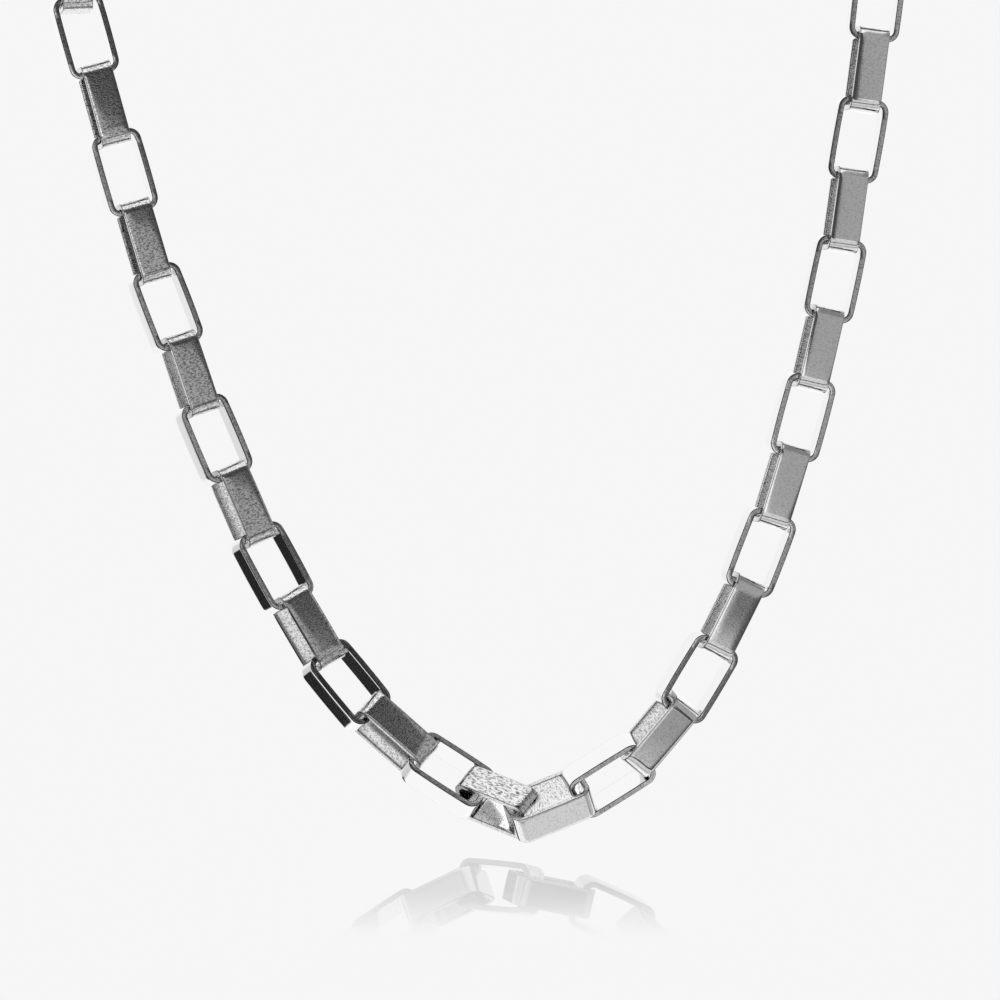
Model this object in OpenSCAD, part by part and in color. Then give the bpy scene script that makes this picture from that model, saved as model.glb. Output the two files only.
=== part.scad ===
// Box-link chain necklace, hanging in its worn shape.
// Every link is a flat strip of steel bent into a long rounded rectangle and welded shut.
// Neighbours are turned a quarter turn about the chain, and one plain clasp closes the loop.
// Sizes are in millimetres. X runs from the wearer's right to left, -Y is the front and Z is up.
// The origin is the middle of the clasp, where the chain sits on the back of the neck.

/* [Link] */
// Outside length of a link, along the chain
link_l = 13.1; // [12.5:0.1:14]
// Outside width of a link, across its window
link_w = 8; // [7.6:0.1:9]
// Width of the flat strip that a link is bent from
strip_w = 4.6; // [4:0.1:4.6]
// Thickness of that strip
strip_t = 0.9; // [0.7:0.05:1]
// Outside radius of the four bends
corner_r = 1.9; // [1.4:0.1:1.9]
// Play between two links that pull on each other
play = 0.24; // [0.2:0.01:0.3]

/* [Hang] */
// How far the front of the necklace leans back from upright, in degrees
lean = 20; // [10:1:30]
// Turn of the last hidden link away from straight back, in degrees
nape_turn = 83; // [80:1:86]

/* [Clasp] */
// Outside width of the clasp
clasp_w = 8.8; // [8.6:0.1:10]
// Thickness of the clasp
clasp_t = 2; // [1.6:0.1:2.4]
// Width of the rim round the clasp's two eyes
eye_rim = 1.6; // [1.2:0.1:1.6]
// Length of each eye, along the chain
eye_l = 3.6; // [3:0.1:5]

/* [Hidden] */
$fn = 64;
// Corner radius of the clasp's eyes
eye_r = 0.3;

// The front stretch, from the left arm round the bottom to the right arm, one row for each link.
// heading: the link's direction in the hanging plane, counted from level, up being positive.
// roll: its turn about its own line. tilt: how far its far end comes out of the hanging plane.
// across: 1 where the link is turned a quarter turn, so that its strip faces the front.
HEADING = 0;
ROLL = 1;
TILT = 2;
ACROSS = 3;
front = [
    [-74.5, -9, 0, 0],
    [-74.5, -10, 0, 1],
    [-74, -11, 0, 0],
    [-73.5, -12, 0, 1],
    [-69, -14, 0, 0],
    [-71.5, -15, 0, 1],
    [-67, -16, 0, 0],
    [-66.5, -18, 0, 1],
    [-61.5, -20, 0, 0],
    [-59.5, -21, 0, 1],
    [-50.5, -24, 0, 0],
    [-41.5, -25, 0, 1],
    [-33, -31, 0, 0],
    [-21, -37, 28, 1],
    [22, 36, -8, 1],
    [32, 30, 0, 0],
    [50, 18, 4, 1],
    [59, 14, -1, 0],
    [63.5, 12, -1, 1],
    [69, 11, -1, 0],
    [73, 10, -1, 1],
    [75, 9, -1, 0],
    [77, 9, -1, 1],
    [78, 8, -1, 0],
    [82, 8, -1, 1],
    [80, 7, -1, 0],
    [82.5, 7, -1, 1],
    [83, 7, -1, 0]
];

// The hidden sides, from the top of each arm to the clasp, the left one first.
// slope: the last link's slope above level. ease: how late the side turns in, 1 being evenly.
side_links = 7;
SLOPE = 0;
EASE = 1;
sides = [
    [35.4, 1.072],
    [25, 0.9]
];

// The hanging plane
right = [1, 0, 0];
up = [0, sin(lean), cos(lean)];
out = [0, -cos(lean), sin(lean)];

// A place is [centre, along, over, flat]: the middle of a link, its length, the width of its
// window and the width of its strip.
CENTRE = 0;
ALONG = 1;
OVER = 2;
FLAT = 3;

function unit(v) = v / norm(v);

// The place of one row of the front stretch, with its middle at the given point
function row_place(row, centre) =
    let(
        level = cos(row[HEADING]) * right + sin(row[HEADING]) * up,
        side = cos(row[HEADING]) * up - sin(row[HEADING]) * right,
        along = cos(row[TILT]) * level + sin(row[TILT]) * out,
        facing = cross(along, side),
        turn = row[ROLL] + 90 * row[ACROSS]
    )
    [centre, along, cos(turn) * side + sin(turn) * facing, cos(turn) * facing - sin(turn) * side];

// How far from a link's middle its neighbour pulls. A neighbour that is tilted rocks up on the
// edge of its strip, which shortens the chain there.
function pull(this, next) =
    link_l / 2 - strip_t - play / 2 - strip_w / 2 * abs(next[FLAT] * this[ALONG]);

// The next link's middle, from a link whose middle is known
function next_centre(this, next) =
    this[CENTRE] + pull(this, next) * this[ALONG] + pull(next, this) * next[ALONG];

function moved(place, centre) = [centre, place[ALONG], place[OVER], place[FLAT]];

function front_places(i = 0, places = []) =
    i == len(front) ? places :
    let(
        loose = row_place(front[i], [0, 0, 0]),
        centre = i == 0 ? [0, 0, 0] : next_centre(places[i - 1], loose)
    )
    front_places(i + 1, concat(places, [moved(loose, centre)]));

// Turns v by the smallest turn that brings direction a onto direction b
function carry(v, a, b) = v - (a + b) * ((a + b) * v) / (1 + a * b) + 2 * b * (a * v);

// One more link of a side, turned a quarter turn from the link before it
function side_place(last, along) =
    let(
        over = carry(last[FLAT], last[ALONG], along),
        flat = -carry(last[OVER], last[ALONG], along),
        loose = [[0, 0, 0], along, over, flat]
    )
    moved(loose, next_centre(last, loose));

// A side turns from its arm's direction to the nape's. s is -1 on the left and 1 on the right.
function side_places(s, row, first, places = []) =
    len(places) == side_links ? places :
    let(
        part = (len(places) + 1) / side_links,
        start_turn = asin(-s * first[ALONG][0]),
        turn = start_turn + (nape_turn - start_turn) * pow(part, row[EASE]),
        slope = 90 - lean - (90 - lean - row[SLOPE]) * part,
        along = [-s * sin(turn), cos(turn) * cos(slope), cos(turn) * sin(slope)],
        last = len(places) == 0 ? first : places[len(places) - 1]
    )
    side_places(s, row, first, concat(places, [side_place(last, along)]));

// The same link seen from its other end
function reversed(place) = [place[CENTRE], -place[ALONG], -place[OVER], place[FLAT]];

middle_run = front_places();
left_run = side_places(-1, sides[0], reversed(middle_run[0]));
right_run = side_places(1, sides[1], middle_run[len(middle_run) - 1]);

// Where an end link pulls on the clasp, whose eye it meets at a small slant
function clasp_pull(end) =
    let(
        slant = strip_w / 2 * abs(end[FLAT] * right) + clasp_t / 2 * abs(end[OVER] * right)
    )
    end[CENTRE] + (link_l / 2 - strip_t - play - slant) * end[ALONG];

// The clasp lies between the two end links, as wide as their strips lie, halfway between them.
left_end = left_run[side_links - 1];
right_end = right_run[side_links - 1];
left_pull = clasp_pull(left_end);
right_pull = clasp_pull(right_end);
clasp_along = unit(right_pull - left_pull);
strips = left_end[FLAT] - right_end[FLAT];
clasp_over = unit(strips - (strips * clasp_along) * clasp_along);
clasp_l = norm(right_pull - left_pull) + 2 * eye_rim;
clasp_middle = (left_pull + right_pull) / 2;

chain = concat([for (i = [side_links - 1 : -1 : 0]) left_run[i]], middle_run, right_run);

function two_digits(n) = n < 10 ? str("0", n) : str(n);
function link_name(i) = str("link_", two_digits(i + 1));

// Puts a piece drawn along X, with its width along Y, at a place of the chain
module at_place(place) {
    p = place[CENTRE] - clasp_middle;
    a = place[ALONG];
    o = place[OVER];
    f = place[FLAT];
    multmatrix([[a[0], o[0], f[0], p[0]], [a[1], o[1], f[1], p[1]], [a[2], o[2], f[2], p[2]]])
        children();
}

module rounded_rectangle(length, width, r) {
    square([length, width - 2 * r], center = true);
    square([length - 2 * r, width], center = true);
    for (x = [-1, 1], y = [-1, 1])
        translate([x * (length / 2 - r), y * (width / 2 - r)]) circle(r);
}

// One link: the bent strip, open at its window
module link(place) {
    color("silver")
        at_place(place)
            linear_extrude(strip_w, center = true)
                difference() {
                    rounded_rectangle(link_l, link_w, corner_r);
                    rounded_rectangle(link_l - 2 * strip_t, link_w - 2 * strip_t, corner_r - strip_t);
                }
}

// The clasp: a flat bar with a wide eye at each end, which the end links pass through
module clasp() {
    eye_w = clasp_w - 2 * eye_rim;
    eye_x = clasp_l / 2 - eye_rim - eye_l / 2;
    color("silver")
        at_place([clasp_middle, clasp_along, clasp_over, cross(clasp_along, clasp_over)])
            linear_extrude(clasp_t, center = true)
                difference() {
                    rounded_rectangle(clasp_l, clasp_w, 2 * eye_rim);
                    for (x = [-1, 1])
                        translate([x * eye_x, 0]) rounded_rectangle(eye_l, eye_w, eye_r);
                }
}

for (i = [0 : len(chain) - 1]) {
    link(chain[i]);
}
clasp();
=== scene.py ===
import math

import bmesh
import bpy
import numpy as np
from mathutils import Matrix, Vector


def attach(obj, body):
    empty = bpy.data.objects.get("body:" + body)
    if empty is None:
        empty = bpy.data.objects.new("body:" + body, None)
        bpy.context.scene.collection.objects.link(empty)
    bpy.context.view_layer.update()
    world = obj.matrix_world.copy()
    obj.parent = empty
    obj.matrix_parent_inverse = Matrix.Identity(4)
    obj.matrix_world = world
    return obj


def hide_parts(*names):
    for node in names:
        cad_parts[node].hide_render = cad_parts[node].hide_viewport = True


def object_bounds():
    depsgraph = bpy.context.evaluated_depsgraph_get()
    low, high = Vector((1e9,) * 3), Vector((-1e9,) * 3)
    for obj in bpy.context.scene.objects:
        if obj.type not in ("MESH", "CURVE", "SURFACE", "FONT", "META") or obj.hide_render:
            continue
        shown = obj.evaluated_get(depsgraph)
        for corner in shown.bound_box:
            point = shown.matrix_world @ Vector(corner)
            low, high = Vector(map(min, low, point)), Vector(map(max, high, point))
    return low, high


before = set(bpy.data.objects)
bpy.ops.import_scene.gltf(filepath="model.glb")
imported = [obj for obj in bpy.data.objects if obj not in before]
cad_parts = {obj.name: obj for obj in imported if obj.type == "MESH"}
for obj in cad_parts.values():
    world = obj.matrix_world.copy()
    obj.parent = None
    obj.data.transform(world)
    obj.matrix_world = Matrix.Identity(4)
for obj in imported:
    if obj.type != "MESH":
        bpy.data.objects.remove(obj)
cad_low, cad_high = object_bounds()

# Links
# Each link is a flat strip of stainless steel, bent into a long rounded rectangle. Its ends are butted and
# welded on a long side, near one bend, and the welded links are tumbled bright, which leaves fine pits.
# Each hangs in the next one's end, a quarter turn round from it.
mm = 0.001
link_l = 13.1 * mm
link_w = 8 * mm
strip_w = 4.6 * mm
strip_t = 0.9 * mm
corner_r = 1.9 * mm
# The strip's sheared edges are rounded by the tumbling.
edge_r = 0.1 * mm
# The wide faces fall away a little towards the strip's edges, and are crowned along their length.
edge_fall = 0.03 * mm
crown = 0.06 * mm
# The weld runs across the strip, this far from the link's end.
weld_from_end = 2.6 * mm
weld_w = 0.12 * mm
weld_deep = 0.03 * mm
# The strip is cut up finely enough for these shapes. The cuts along it are only in its straight stretches,
# whose edges are longer than any in a bend.
bend_steps = 14
cuts_across = 9
cuts_along = 7
straight_edge = 2 * mm
# Places that differ by less than this are taken as one.
near = 0.01 * mm


def pick(piece, kind, test):
    """Selects the verts, edges or faces of the piece that pass the test, and nothing else. For edit mode."""
    bpy.ops.mesh.select_mode(type={"verts": "VERT", "edges": "EDGE", "faces": "FACE"}[kind])
    bpy.ops.mesh.select_all(action="DESELECT")
    mesh = bmesh.from_edit_mesh(piece.data)
    for part in getattr(mesh, kind):
        part.select_set(bool(test(part)))
    bmesh.update_edit_mesh(piece.data)


def reach(edge):
    """How far an edge runs along each axis."""
    a, b = (vert.co for vert in edge.verts)
    return Vector((abs(a.x - b.x), abs(a.y - b.y), abs(a.z - b.z)))


def apply_modifier(piece, kind, **settings):
    modifier = piece.modifiers.new(kind, kind)
    for name, value in settings.items():
        setattr(modifier, name, value)
    bpy.ops.object.modifier_apply(modifier=modifier.name)


def round_edges(piece, **settings):
    """Rounds the piece's sharp edges and shades it smooth, with its wide faces kept flat."""
    apply_modifier(piece, "BEVEL", limit_method="ANGLE", angle_limit=math.radians(60), **settings)
    bpy.ops.object.shade_smooth()
    apply_modifier(piece, "WEIGHTED_NORMAL", weight=60, keep_sharp=True)


bpy.ops.object.select_all(action="DESELECT")
bpy.ops.mesh.primitive_cube_add(size=1, scale=(link_l - strip_t, link_w - strip_t, strip_w))
pattern = bpy.context.object
pattern.name = "link_pattern"
bpy.ops.object.transform_apply(location=True, rotation=True, scale=True)
bpy.ops.object.mode_set(mode="EDIT")
pick(pattern, "faces", lambda face: abs(face.normal.z) > 0.5)
bpy.ops.mesh.delete(type="FACE")
pick(pattern, "edges", lambda edge: reach(edge).z > strip_w / 2)
bpy.ops.mesh.bevel(offset=corner_r - strip_t / 2, segments=bend_steps, affect="EDGES")
pick(pattern, "edges", lambda edge: reach(edge).z > strip_w / 2)
bpy.ops.mesh.subdivide(number_cuts=cuts_across)
pick(pattern, "edges", lambda edge: reach(edge).x > straight_edge or reach(edge).y > straight_edge)
bpy.ops.mesh.subdivide(number_cuts=cuts_along)
weld_x = link_l / 2 - weld_from_end
for x in (weld_x - weld_w / 2, weld_x, weld_x + weld_w / 2):
    pick(pattern, "faces", lambda face: face.normal.y > 0.9)
    bpy.ops.mesh.bisect(plane_co=(x, 0, 0), plane_no=(1, 0, 0))
bpy.ops.object.mode_set(mode="OBJECT")
apply_modifier(pattern, "SOLIDIFY", thickness=strip_t, offset=0, use_even_offset=True)


def depth(co):
    """How far a point of the link lies under the link's outer face."""
    past_x = abs(co.x) - link_l / 2 + corner_r
    past_y = abs(co.y) - link_w / 2 + corner_r
    return corner_r - math.hypot(max(past_x, 0), max(past_y, 0)) - min(max(past_x, past_y), 0)


bpy.ops.object.mode_set(mode="EDIT")
# Nearly all of the fall is at the strip's edges, so only the two outermost rows of the outer face move in.
for share in (0.8, 1):
    fall = edge_fall * share ** 6
    row = share * strip_w / 2
    pick(pattern, "verts", lambda vert: abs(abs(vert.co.z) - row) < near and depth(vert.co) < strip_t / 2)
    bpy.ops.transform.resize(value=(1 - 2 * fall / link_l, 1 - 2 * fall / link_w, 1))
# The crown grows with the square of the way from the middle. Each pass narrows all from its row outwards,
# and finds the row with some play, because the fall has moved the row's ends.
row_step = 0.25
row_play = 0.1 * mm
for share in (0.25, 0.5, 0.75, 1):
    fall = crown * (share ** 2 - (share - row_step) ** 2)
    row = share * (link_l / 2 - corner_r)
    pick(pattern, "verts", lambda vert: abs(vert.co.x) > row - row_play)
    bpy.ops.transform.resize(value=(1, 1 - 2 * fall / link_w, 1))
pick(
    pattern, "verts",
    lambda vert: abs(vert.co.x - weld_x) < weld_w / 4 and vert.co.y > link_w / 2 - strip_t / 2,
)
bpy.ops.transform.translate(value=(0, -weld_deep, 0))
bpy.ops.object.mode_set(mode="OBJECT")
# The outer face, the corners, the sheared edges and the inner face each have a steel of their own.
outer_slot, corner_slot, edge_slot, inner_slot = range(4)
for slot in (outer_slot, corner_slot, edge_slot, inner_slot):
    pattern.data.materials.append(None)
round_edges(pattern, width=edge_r, segments=3, material=corner_slot)
flush = 0.001 * mm
for face in pattern.data.polygons:
    if abs(face.center.z) > strip_w / 2 - flush:
        face.material_index = edge_slot
    elif face.material_index == outer_slot and depth(face.center) > strip_t / 2:
        face.material_index = inner_slot


def strip_place(co, quarter):
    """How far along the strip a point is, counted round the link from the middle of its far end."""
    side_x = link_l / 2 - corner_r
    side_y = link_w / 2 - corner_r
    turn = math.atan2(max(abs(co.y) - side_y, 0), max(abs(co.x) - side_x, 0))
    place = min(abs(co.y), side_y) + corner_r * turn + max(side_x - abs(co.x), 0)
    whole = side_y + corner_r * math.pi / 2 + side_x
    return (place, 2 * whole - place, 2 * whole + place, 4 * whole - place)[quarter]


# The strip map, in mm, runs along the strip, and across its outer face and over its edges. The inner face
# has a stretch of the map to itself, this far across.
inner_shift = 10 * mm
quarters = {(True, True): 0, (False, True): 1, (False, False): 2, (True, False): 3}
strip_map = pattern.data.uv_layers[0]
strip_map.name = "strip"
for face in pattern.data.polygons:
    quarter = quarters[face.center.x > 0, face.center.y > 0]
    over_edge = abs(face.normal.z) > 0.3
    for corner in face.loop_indices:
        co = pattern.data.vertices[pattern.data.loops[corner].vertex_index].co
        if over_edge:
            across = co.z + math.copysign(depth(co), co.z)
        elif depth(face.center) < strip_t / 2:
            across = co.z
        else:
            across = co.z + inner_shift
        strip_map.data[corner].uv = (strip_place(co, quarter) / mm, across / mm)


def hex_colour(text):
    """An sRGB hex colour as linear red, green, blue and alpha."""
    parts = [int(text[i:i + 2], 16) / 255 for i in (1, 3, 5)]
    return [c / 12.92 if c < 0.04045 else ((c + 0.055) / 1.055) ** 2.4 for c in parts] + [1]


def add_node(tree, kind, settings=(), links=()):
    """Adds a node. Settings go to its properties or inputs, by name or number, and links join its inputs."""
    node = tree.nodes.new(kind)
    for name, value in dict(settings).items():
        if isinstance(name, str) and name in node.bl_rna.properties:
            setattr(node, name, value)
        else:
            node.inputs[name].default_value = value
    for name, source in dict(links).items():
        tree.links.new(source, node.inputs[name])
    return node


# The sizes of the steel's patterns are in millimetres, as the strip map is.
pit_size = 0.3
scratch_size = 1 / 6
ripple_size = 1 / 3.6
uneven_size = 1 / 0.35
uneven_deep = 0.006 * mm


# Tumbled stainless steel: bright, neutral in colour and nearly a mirror. It has fine pits that are duller
# than the rest, faint scratches along the strip and a slow unevenness of a few millimetres, which break its
# reflections up. A rippled strip has been left rougher by the rolls, and its grooves are painted dark, as a
# painted reflection of dark surroundings.
def tumbled_steel(
    name, colour="#d2d2d2", roughness=0.08, pit_deep=0.0, pit_tone_and_painted_shade=1.0, scratch_deep=0.0, ripple_deep=0.0,
):
    material = bpy.data.materials.new(name)
    material.use_nodes = True
    tree = material.node_tree
    tree.nodes.clear()
    strip = add_node(tree, "ShaderNodeUVMap", {"uv_map": "strip"}).outputs["UV"]
    uneven = add_node(
        tree, "ShaderNodeTexNoise", {"Scale": 1 / uneven_size, "Detail": 1.0}, {"Vector": strip},
    )
    along_strip = add_node(tree, "ShaderNodeMapping", {"Scale": (0.25, 1, 1)}, {"Vector": strip})
    scratches = add_node(
        tree, "ShaderNodeTexNoise", {"Scale": 1 / scratch_size, "Detail": 2.0, "Roughness": 0.7},
        {"Vector": along_strip.outputs["Vector"]},
    )
    squeezed = add_node(tree, "ShaderNodeMapping", {"Scale": (1.4, 0.7, 1)}, {"Vector": strip})
    grain = add_node(
        tree, "ShaderNodeTexNoise",
        {"Scale": 1 / pit_size, "Detail": 2.0, "Roughness": 0.6, "Distortion": 0.8},
        {"Vector": squeezed.outputs["Vector"]},
    )
    pits = add_node(
        tree, "ShaderNodeMapRange",
        {
            "interpolation_type": "SMOOTHSTEP",
            "From Min": 0.5, "From Max": 0.59, "To Min": 1.0, "To Max": 0.0,
        },
        {"Value": grain.outputs["Fac"]},
    )
    heights = [
        (uneven.outputs["Fac"], uneven_deep), (scratches.outputs["Fac"], scratch_deep),
        (pits.outputs["Result"], pit_deep),
    ]
    bright = pits
    if ripple_deep:
        aslant = add_node(
            tree, "ShaderNodeMapping", {"Rotation": (0, 0, 0.8), "Scale": (0.35, 1, 1)}, {"Vector": strip},
        )
        ripple = add_node(
            tree, "ShaderNodeTexNoise",
            {"Scale": 1 / ripple_size, "Detail": 2.5, "Roughness": 0.6, "Distortion": 0.6},
            {"Vector": aslant.outputs["Vector"]},
        )
        heights.insert(1, (ripple.outputs["Fac"], ripple_deep))
        # The grooves darken the colour: a painted reflection of dark surroundings.
        bright = add_node(
            tree, "ShaderNodeMapRange",
            {"interpolation_type": "SMOOTHSTEP", "From Min": 0.34, "From Max": 0.56},
            {"Value": ripple.outputs["Fac"]},
        )
    normal = None
    for height, deep in heights:
        if deep == 0:
            continue
        bump = add_node(tree, "ShaderNodeBump", {"Strength": 1.0, "Distance": deep}, {"Height": height})
        if normal:
            tree.links.new(normal.outputs["Normal"], bump.inputs["Normal"])
        normal = bump
    steel = add_node(
        tree, "ShaderNodeBsdfPrincipled",
        {"Metallic": 1.0, "Roughness": roughness, "Base Color": hex_colour(colour)},
        {"Normal": normal.outputs["Normal"]},
    )
    # Pits darken the colour, and on a rippled strip the grooves do instead, as painted reflection.
    if pit_tone_and_painted_shade < 1:
        # The Mix node's colours are its inputs 6 and 7 and its output 2.
        darkened_colour = [pit_tone_and_painted_shade * part for part in hex_colour(colour)[:3]] + [1]
        mixed = add_node(
            tree, "ShaderNodeMix", {"data_type": "RGBA", 6: darkened_colour, 7: hex_colour(colour)},
            {0: bright.outputs["Result"]},
        )
        tree.links.new(mixed.outputs[2], steel.inputs["Base Color"])
    add_node(tree, "ShaderNodeOutputMaterial", {}, {"Surface": steel.outputs["BSDF"]})
    return material


pitted_steel = tumbled_steel(
    "tumbled_steel_pitted", pit_deep=0.004 * mm, pit_tone_and_painted_shade=0.4, scratch_deep=0.0015 * mm,
)
fine_steel = tumbled_steel(
    "tumbled_steel_fine", pit_deep=0.0008 * mm, pit_tone_and_painted_shade=0.8, scratch_deep=0.0012 * mm,
)
# The rippled link's grooves are painted dark, as a painted reflection.
rippled_groove_shaded_steel = tumbled_steel(
    "tumbled_steel_rippled_painted_groove_shade", pit_deep=0.0006 * mm, pit_tone_and_painted_shade=0.2, ripple_deep=0.03 * mm,
)
clean_steel = tumbled_steel("tumbled_steel_clean", pit_deep=0.0005 * mm)
# The inner faces of the first links have pits painted nearly black, as painted shade, and the other links'
# inner steel is painted lighter than the outer, as painted light.
inner_pitted_shaded_steel = tumbled_steel("inner_steel_pitted_painted_shade", roughness=0.2, pit_deep=0.003 * mm, pit_tone_and_painted_shade=0.15)
inner_fine_lit_steel = tumbled_steel("inner_steel_fine_painted_light", "#f4f4f4", 0.12, pit_deep=0.002 * mm, pit_tone_and_painted_shade=0.5)
# The rounded corners of the strip's edges are painted dark, a painted shade that stands in for the dark
# outline their reflections give, and the sheared edge between them is streaky.
# Nearly black on side-on links and dark grey where the wide face shows, both painted shade.
painted_dark_corner_steel = tumbled_steel("steel_corner_painted_dark", "#303030", 0.3, pit_deep=0.002 * mm)
painted_grey_corner_steel = tumbled_steel("steel_corner_painted_grey", "#6a6a6a", 0.2, pit_deep=0.002 * mm)
edge_steel = tumbled_steel(
    "sheared_steel_edge", "#c4c4c4", 0.12, pit_deep=0.002 * mm, pit_tone_and_painted_shade=0.5, scratch_deep=0.006 * mm,
)
# One link's sheared edges are painted darker, as painted shade.
shaded_edge_steel = tumbled_steel(
    "sheared_steel_edge_painted_shade", "#7c7c7c", 0.12, pit_deep=0.002 * mm, pit_tone_and_painted_shade=0.5, scratch_deep=0.006 * mm,
)


def frame_of(node):
    """The middle of a CAD node and the directions of its length and of its width, read from its mesh."""
    co = np.array([vert.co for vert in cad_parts[node].data.vertices], float)
    middle = (co.min(0) + co.max(0)) / 2
    ways = np.linalg.eigh(np.cov((co - middle).T))[1]
    return Vector(middle), Vector(ways[:, 2]), Vector(ways[:, 1])


def placed(middle, along, over):
    """The transform that puts a piece in place, made at the origin with its length on x and width on y."""
    place = Matrix((along, over, along.cross(over))).transposed().to_4x4()
    place.translation = middle
    return place


# The chain's front leans back by this much.
lean = math.radians(20)
front_way = Vector((0, -math.cos(lean), math.sin(lean)))
# The links are numbered from the nape, down the left arm and up the right one. The left arm's show more pits
# than the right one's. One link is rippled, with its grooves painted dark, and on some links parts of the
# steel are painted darker or lighter, as painted shade and painted light.
last_pitted_and_shaded_inside = 12
shaded_edge_link = 18
rippled_link = 21
# Each link takes the next stretch of the map, in mm, so that no two have the same pits.
map_stretch = 50
links = sorted(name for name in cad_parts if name.startswith("link_"))
middles = [frame_of(name)[0] for name in links]
for i, name in enumerate(links):
    middle, along, over = frame_of(name)
    before = middles[max(i - 1, 0)]
    after = middles[min(i + 1, len(links) - 1)]
    if along.dot(after - before) < 0:
        along = -along
    if over.dot(front_way) < 0:
        over = -over
    mesh = pattern.data.copy()
    mesh.transform(placed(middle, along, over))
    mesh.name = name + "_steel"
    for corner in mesh.uv_layers["strip"].data:
        corner.uv.x += map_stretch * i
    link = bpy.data.objects.new(name + "_steel", mesh)
    bpy.context.scene.collection.objects.link(link)
    number = int(name[-2:])
    wide_face_shows = over.dot(front_way) > 0.6
    if wide_face_shows:
        outer_steel = pitted_steel if number < rippled_link else fine_steel
        if number == rippled_link:
            outer_steel = rippled_groove_shaded_steel
        # Inside: painted shade on the first links, painted light on the rest.
        inner_steel = inner_pitted_shaded_steel if number <= last_pitted_and_shaded_inside else inner_fine_lit_steel
        # The corners here get the dark grey painted shade.
        slot_steels = (outer_steel, painted_grey_corner_steel, edge_steel, inner_steel)
    else:
        # One link gets sheared edges painted darker, as painted shade.
        sheared_steel = shaded_edge_steel if number == shaded_edge_link else edge_steel
        # The corners here get the nearly black painted shade.
        slot_steels = (clean_steel, painted_dark_corner_steel, sheared_steel, clean_steel)
    for slot, steel in enumerate(slot_steels):
        mesh.materials[slot] = steel
    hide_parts(name)
    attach(link, "root")
bpy.data.objects.remove(pattern)

# Clasp
# The clasp is one plain flat bar of the same steel, with a wide eye at each end for the end links.
# Its outline and its edges are rounded, so that it lies smooth on the back of the neck.
clasp_w = 8.8 * mm
clasp_t = 2 * mm
clasp_edge_r = 0.3 * mm
eye_rim = 1.6 * mm
eye_l = 3.6 * mm
eye_w = clasp_w - 2 * eye_rim
eye_corner_r = 0.3 * mm
clasp_corner_r = 2 * eye_rim
clasp_middle, along, over = frame_of("clasp")
reaches = [(vert.co - clasp_middle).dot(along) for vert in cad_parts["clasp"].data.vertices]
clasp_l = max(reaches) - min(reaches)
eye_x = (clasp_l / 2 - eye_rim - eye_l, clasp_l / 2 - eye_rim)


def in_eye(co):
    """Whether a point lies inside the outline of an eye."""
    return eye_x[0] < abs(co.x) < eye_x[1] and abs(co.y) < eye_w / 2


bpy.ops.object.select_all(action="DESELECT")
bpy.ops.mesh.primitive_cube_add(size=1, scale=(clasp_l, clasp_w, clasp_t))
clasp = bpy.context.object
clasp.name = "clasp_steel_bar"
bpy.ops.object.transform_apply(location=True, rotation=True, scale=True)
bpy.ops.object.mode_set(mode="EDIT")
pick(clasp, "edges", lambda edge: reach(edge).z > clasp_t / 2)
bpy.ops.mesh.bevel(offset=clasp_corner_r, segments=12, affect="EDGES")
for x in (-eye_x[1], -eye_x[0], eye_x[0], eye_x[1]):
    bpy.ops.mesh.select_all(action="SELECT")
    bpy.ops.mesh.bisect(plane_co=(x, 0, 0), plane_no=(1, 0, 0))
for y in (-eye_w / 2, eye_w / 2):
    bpy.ops.mesh.select_all(action="SELECT")
    bpy.ops.mesh.bisect(plane_co=(0, y, 0), plane_no=(0, 1, 0))
for side in (-1, 1):
    pick(
        clasp, "faces",
        lambda face: in_eye(face.calc_center_median()) and face.calc_center_median().x * side > 0,
    )
    bpy.ops.mesh.bridge_edge_loops()
pick(
    clasp, "edges",
    lambda edge: reach(edge).z > clasp_t / 2 and abs(abs(edge.verts[0].co.y) - eye_w / 2) < near
    and min(abs(abs(edge.verts[0].co.x) - x) for x in eye_x) < near,
)
bpy.ops.mesh.bevel(offset=eye_corner_r, segments=3, affect="EDGES")
bpy.ops.object.mode_set(mode="OBJECT")
round_edges(clasp, width=clasp_edge_r, segments=4)
# The bar's map runs along it and across it, in mm, and aslant over its edges.
bar_map = clasp.data.uv_layers[0]
bar_map.name = "strip"
for loop in clasp.data.loops:
    co = clasp.data.vertices[loop.vertex_index].co
    bar_map.data[loop.index].uv = ((co.x + co.z) / mm, (co.y + co.z) / mm)
clasp.data.transform(placed(clasp_middle, along, over))
# Its steel is satin, a little greyer and duller than the links'.
satin_steel = tumbled_steel(
    "satin_steel_clasp", "#b4b4b4", 0.22, pit_deep=0.001 * mm, pit_tone_and_painted_shade=0.8, scratch_deep=0.004 * mm,
)
clasp.data.materials.clear()
clasp.data.materials.append(satin_steel)
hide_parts("clasp")
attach(clasp, "root")

# Floor
# A plain pale floor lies close under the chain. It mirrors the lowest links faintly, in one spot under them
# with soft edges, and is plain elsewhere. The steel itself shows the light tent in the floor's place.
pale = hex_colour("#f6f6f6")
floor_size = 40
floor_drop = 1.8 * mm
bpy.ops.object.select_all(action="DESELECT")
bpy.ops.mesh.primitive_plane_add(size=floor_size, location=(0, 0, cad_low.z - floor_drop))
floor = bpy.context.object
floor.name = "floor"
bpy.ops.object.transform_apply(location=True, rotation=True, scale=True)
floor.visible_glossy = False
floor.visible_diffuse = False


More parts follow.
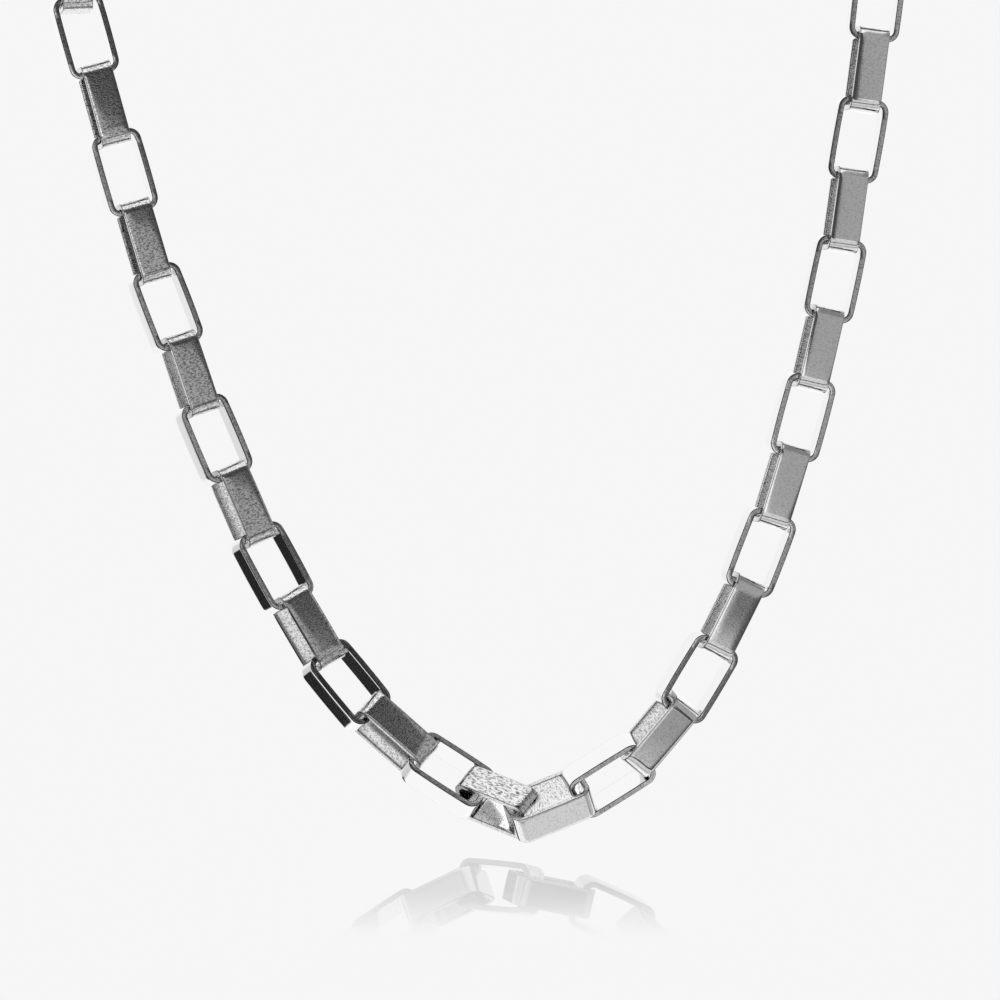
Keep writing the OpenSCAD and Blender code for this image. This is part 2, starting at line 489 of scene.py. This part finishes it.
def inside_edges(tree, place, edges):
    """How far a place lies inside soft edges, from 0 to 1. An edge is a way, and how far along it the inside
    begins and is whole."""
    inside = None
    for way, start, whole in edges:
        towards = add_node(tree, "ShaderNodeVectorMath", {"operation": "DOT_PRODUCT", 1: way}, {0: place})
        edge = add_node(
            tree, "ShaderNodeMapRange",
            {"interpolation_type": "SMOOTHSTEP", "From Min": start, "From Max": whole},
            {"Value": towards.outputs["Value"]},
        )
        if inside:
            tree.links.new(inside.outputs["Result"], edge.inputs["To Max"])
        inside = edge
    return inside.outputs["Result"]


# The spot's edges are towards the camera, away from it, on the left and on the right.
spot_edges = (
    ((0, 1, 0), -112 * mm, -88 * mm), ((0, -1, 0), 60 * mm, 74 * mm),
    ((1, 0, 0), -24 * mm, -14 * mm), ((-1, 0, 0), -46 * mm, -36 * mm),
)
mirror_share = 0.32
floor_material = bpy.data.materials.new("pale_floor")
floor_material.use_nodes = True
tree = floor_material.node_tree
tree.nodes.clear()
glow = add_node(tree, "ShaderNodeEmission", {"Color": pale, "Strength": 1.0})
sheen = add_node(tree, "ShaderNodeBsdfGlossy", {"Color": hex_colour("#d6d6d6"), "Roughness": 0.03})
on_floor = add_node(tree, "ShaderNodeTexCoord")
in_spot = inside_edges(tree, on_floor.outputs["Object"], spot_edges)
mirrored = add_node(tree, "ShaderNodeMapRange", {"To Max": mirror_share}, {"Value": in_spot})
both = add_node(
    tree, "ShaderNodeMixShader", {},
    {0: mirrored.outputs["Result"], 1: glow.outputs[0], 2: sheen.outputs[0]},
)
add_node(tree, "ShaderNodeOutputMaterial", {}, {"Surface": both.outputs[0]})
floor.data.materials.append(floor_material)

# Light
# A white tent lights the chain from all round, and is a little greyer behind it than beside the camera. Grey
# and dark cards stand far off in it, and one dark card near. The bright steel shows them as its greys.
white = hex_colour("#ffffff")
tent_behind = 1.12
tent_front = 1.42
right_way = Vector((1, 0, 0))
up_way = Vector((0, math.sin(lean), math.cos(lean)))
gap_way = Vector(-0.555 * right_way - 0.38 * up_way - 0.745 * front_way).normalized()
# Each card has its brightness and its edges. An edge is a way, and how far along it the card begins and is
# whole.
cards = (
    # The tent's left side, behind the chain
    (0.9, ((-right_way, 0.33, 0.55), (-front_way, 0.3, 0.5), (-up_way, -0.2, 0.0), (up_way, -0.6, -0.4))),
    # The tent's floor, before the chain
    (0.97, ((-up_way, 0.1, 0.2), (front_way, 0.0, 0.15))),
    # Two grey cards, low on the right and low on the left
    (0.75, ((right_way, 0.76, 0.83), (front_way, -0.5, -0.4), (-up_way, -0.08, 0.05))),
    (0.75, ((-right_way, 0.76, 0.83), (front_way, -0.5, -0.4), (-up_way, -0.08, 0.05))),
    # The grey room that shows on the camera's right, below and above
    (0.53, (
        (up_way + right_way, 0.18, 0.22), (2.6 * right_way - up_way, -0.15, -0.05), (front_way, -0.2, 0.0),
    )),
    (0.48, ((right_way, 0.28, 0.33), (-up_way, 0.3, 0.4), (up_way, -0.56, -0.48), (front_way, 0.6, 0.7))),
    (0.33, ((up_way, 0.55, 0.7), (right_way, 0.33, 0.4), (front_way, -0.3, 0.0))),
    # The dark lower rim of the hole in the tent that the camera looks through, and the seam below it
    (0.05, ((front_way, 0.66, 0.69), (-front_way, -0.77, -0.74), (-up_way, -0.1, 0.0))),
    (0.5, (
        (front_way - 0.3 * right_way, 0.26, 0.3), (0.3 * right_way - front_way, -0.4, -0.36),
        (-up_way, 0.5, 0.6),
    )),
    # The camera's own dark side, low on the right of its lens
    (0.12, ((right_way, 0.36, 0.42), (-up_way, 0.1, 0.14), (up_way, -0.34, -0.28), (front_way, 0.74, 0.77))),
    # The round dark gap behind the chain, low on the left
    (0.025, ((gap_way, math.cos(math.radians(12)), math.cos(math.radians(8))),)),
)
world = bpy.data.worlds.new("studio")
bpy.context.scene.world = world
world.use_nodes = True
tree = world.node_tree
tree.nodes.clear()
looking = add_node(tree, "ShaderNodeTexCoord")
towards_front = add_node(
    tree, "ShaderNodeVectorMath", {"operation": "DOT_PRODUCT", 1: front_way},
    {0: looking.outputs["Generated"]},
)
light = add_node(
    tree, "ShaderNodeMapRange",
    {
        "interpolation_type": "SMOOTHSTEP",
        "From Min": -1.0, "From Max": -0.7, "To Min": tent_behind, "To Max": tent_front,
    },
    {"Value": towards_front.outputs["Value"]},
)
for brightness, edges in cards:
    in_card = inside_edges(tree, looking.outputs["Generated"], edges)
    light = add_node(
        tree, "ShaderNodeMapRange", {"To Max": brightness},
        {"Value": in_card, "To Min": light.outputs["Result"]},
    )
lamp = add_node(tree, "ShaderNodeBackground", {"Color": white}, {"Strength": light.outputs["Result"]})
backdrop = add_node(tree, "ShaderNodeBackground", {"Color": pale, "Strength": 1.0})
path = add_node(tree, "ShaderNodeLightPath")
seen = add_node(
    tree, "ShaderNodeMixShader", {},
    {0: path.outputs["Is Camera Ray"], 1: lamp.outputs[0], 2: backdrop.outputs[0]},
)
add_node(tree, "ShaderNodeOutputWorld", {}, {"Surface": seen.outputs[0]})
bpy.context.scene.view_settings.view_transform = "Standard"

# The near card stands before the chain, above the camera's line, and shows in the left arm's links alone.
# Its lower edge slopes down to the right. That edge and its right one are soft, and their places are
# counted from the view's middle.
view_middle = Vector((7.59 * mm, -54.76 * mm, -112.27 * mm))
card_far = 120 * mm
card_left = 30 * mm
card_w = 230 * mm
card_l = 210 * mm
card_glow = 0.09
card_edges = (
    (up_way + 0.56 * right_way, 56 * mm, 59.5 * mm), (0.1 * up_way - right_way, -81 * mm, -77 * mm),
)
bpy.ops.object.select_all(action="DESELECT")
bpy.ops.mesh.primitive_plane_add(
    size=1, rotation=(math.radians(90) - lean, 0, 0),
    location=view_middle + card_far * front_way - card_left * right_way + card_l / 2 * up_way,
)
dark_card = bpy.context.object
dark_card.name = "dark_card"
dark_card.scale = (card_w, card_l, 1)
bpy.ops.object.transform_apply(location=True, rotation=True, scale=True)
dark_card.visible_camera = False
dark_card.visible_shadow = False
card_material = bpy.data.materials.new("dark_card_paper")
card_material.use_nodes = True
tree = card_material.node_tree
tree.nodes.clear()
on_card = add_node(tree, "ShaderNodeTexCoord")
from_middle = add_node(
    tree, "ShaderNodeVectorMath", {"operation": "SUBTRACT", 1: view_middle}, {0: on_card.outputs["Object"]},
)
in_card = inside_edges(tree, from_middle.outputs["Vector"], card_edges)
clear = add_node(tree, "ShaderNodeBsdfTransparent")
dark = add_node(tree, "ShaderNodeEmission", {"Color": white, "Strength": card_glow})
paper = add_node(tree, "ShaderNodeMixShader", {}, {0: in_card, 1: clear.outputs[0], 2: dark.outputs[0]})
add_node(tree, "ShaderNodeOutputMaterial", {}, {"Surface": paper.outputs[0]})
dark_card.data.materials.append(card_material)

# Camera
# It looks down on the chain by the lean of the chain's front, so it sees that front square on, from far off.
# The picture is this wide at the front's plane.
view_w = 155 * mm
camera_far = 1.5
sensor_w = 36
camera_data = bpy.data.cameras.new("camera")
camera_data.sensor_width = sensor_w
camera_data.lens = sensor_w * camera_far / view_w
camera_data.clip_start = 0.1
camera_data.clip_end = 100
camera = bpy.data.objects.new("camera", camera_data)
camera.location = view_middle + camera_far * front_way
camera.rotation_euler = (math.radians(90) - lean, 0, 0)
bpy.context.scene.collection.objects.link(camera)
bpy.context.scene.camera = camera
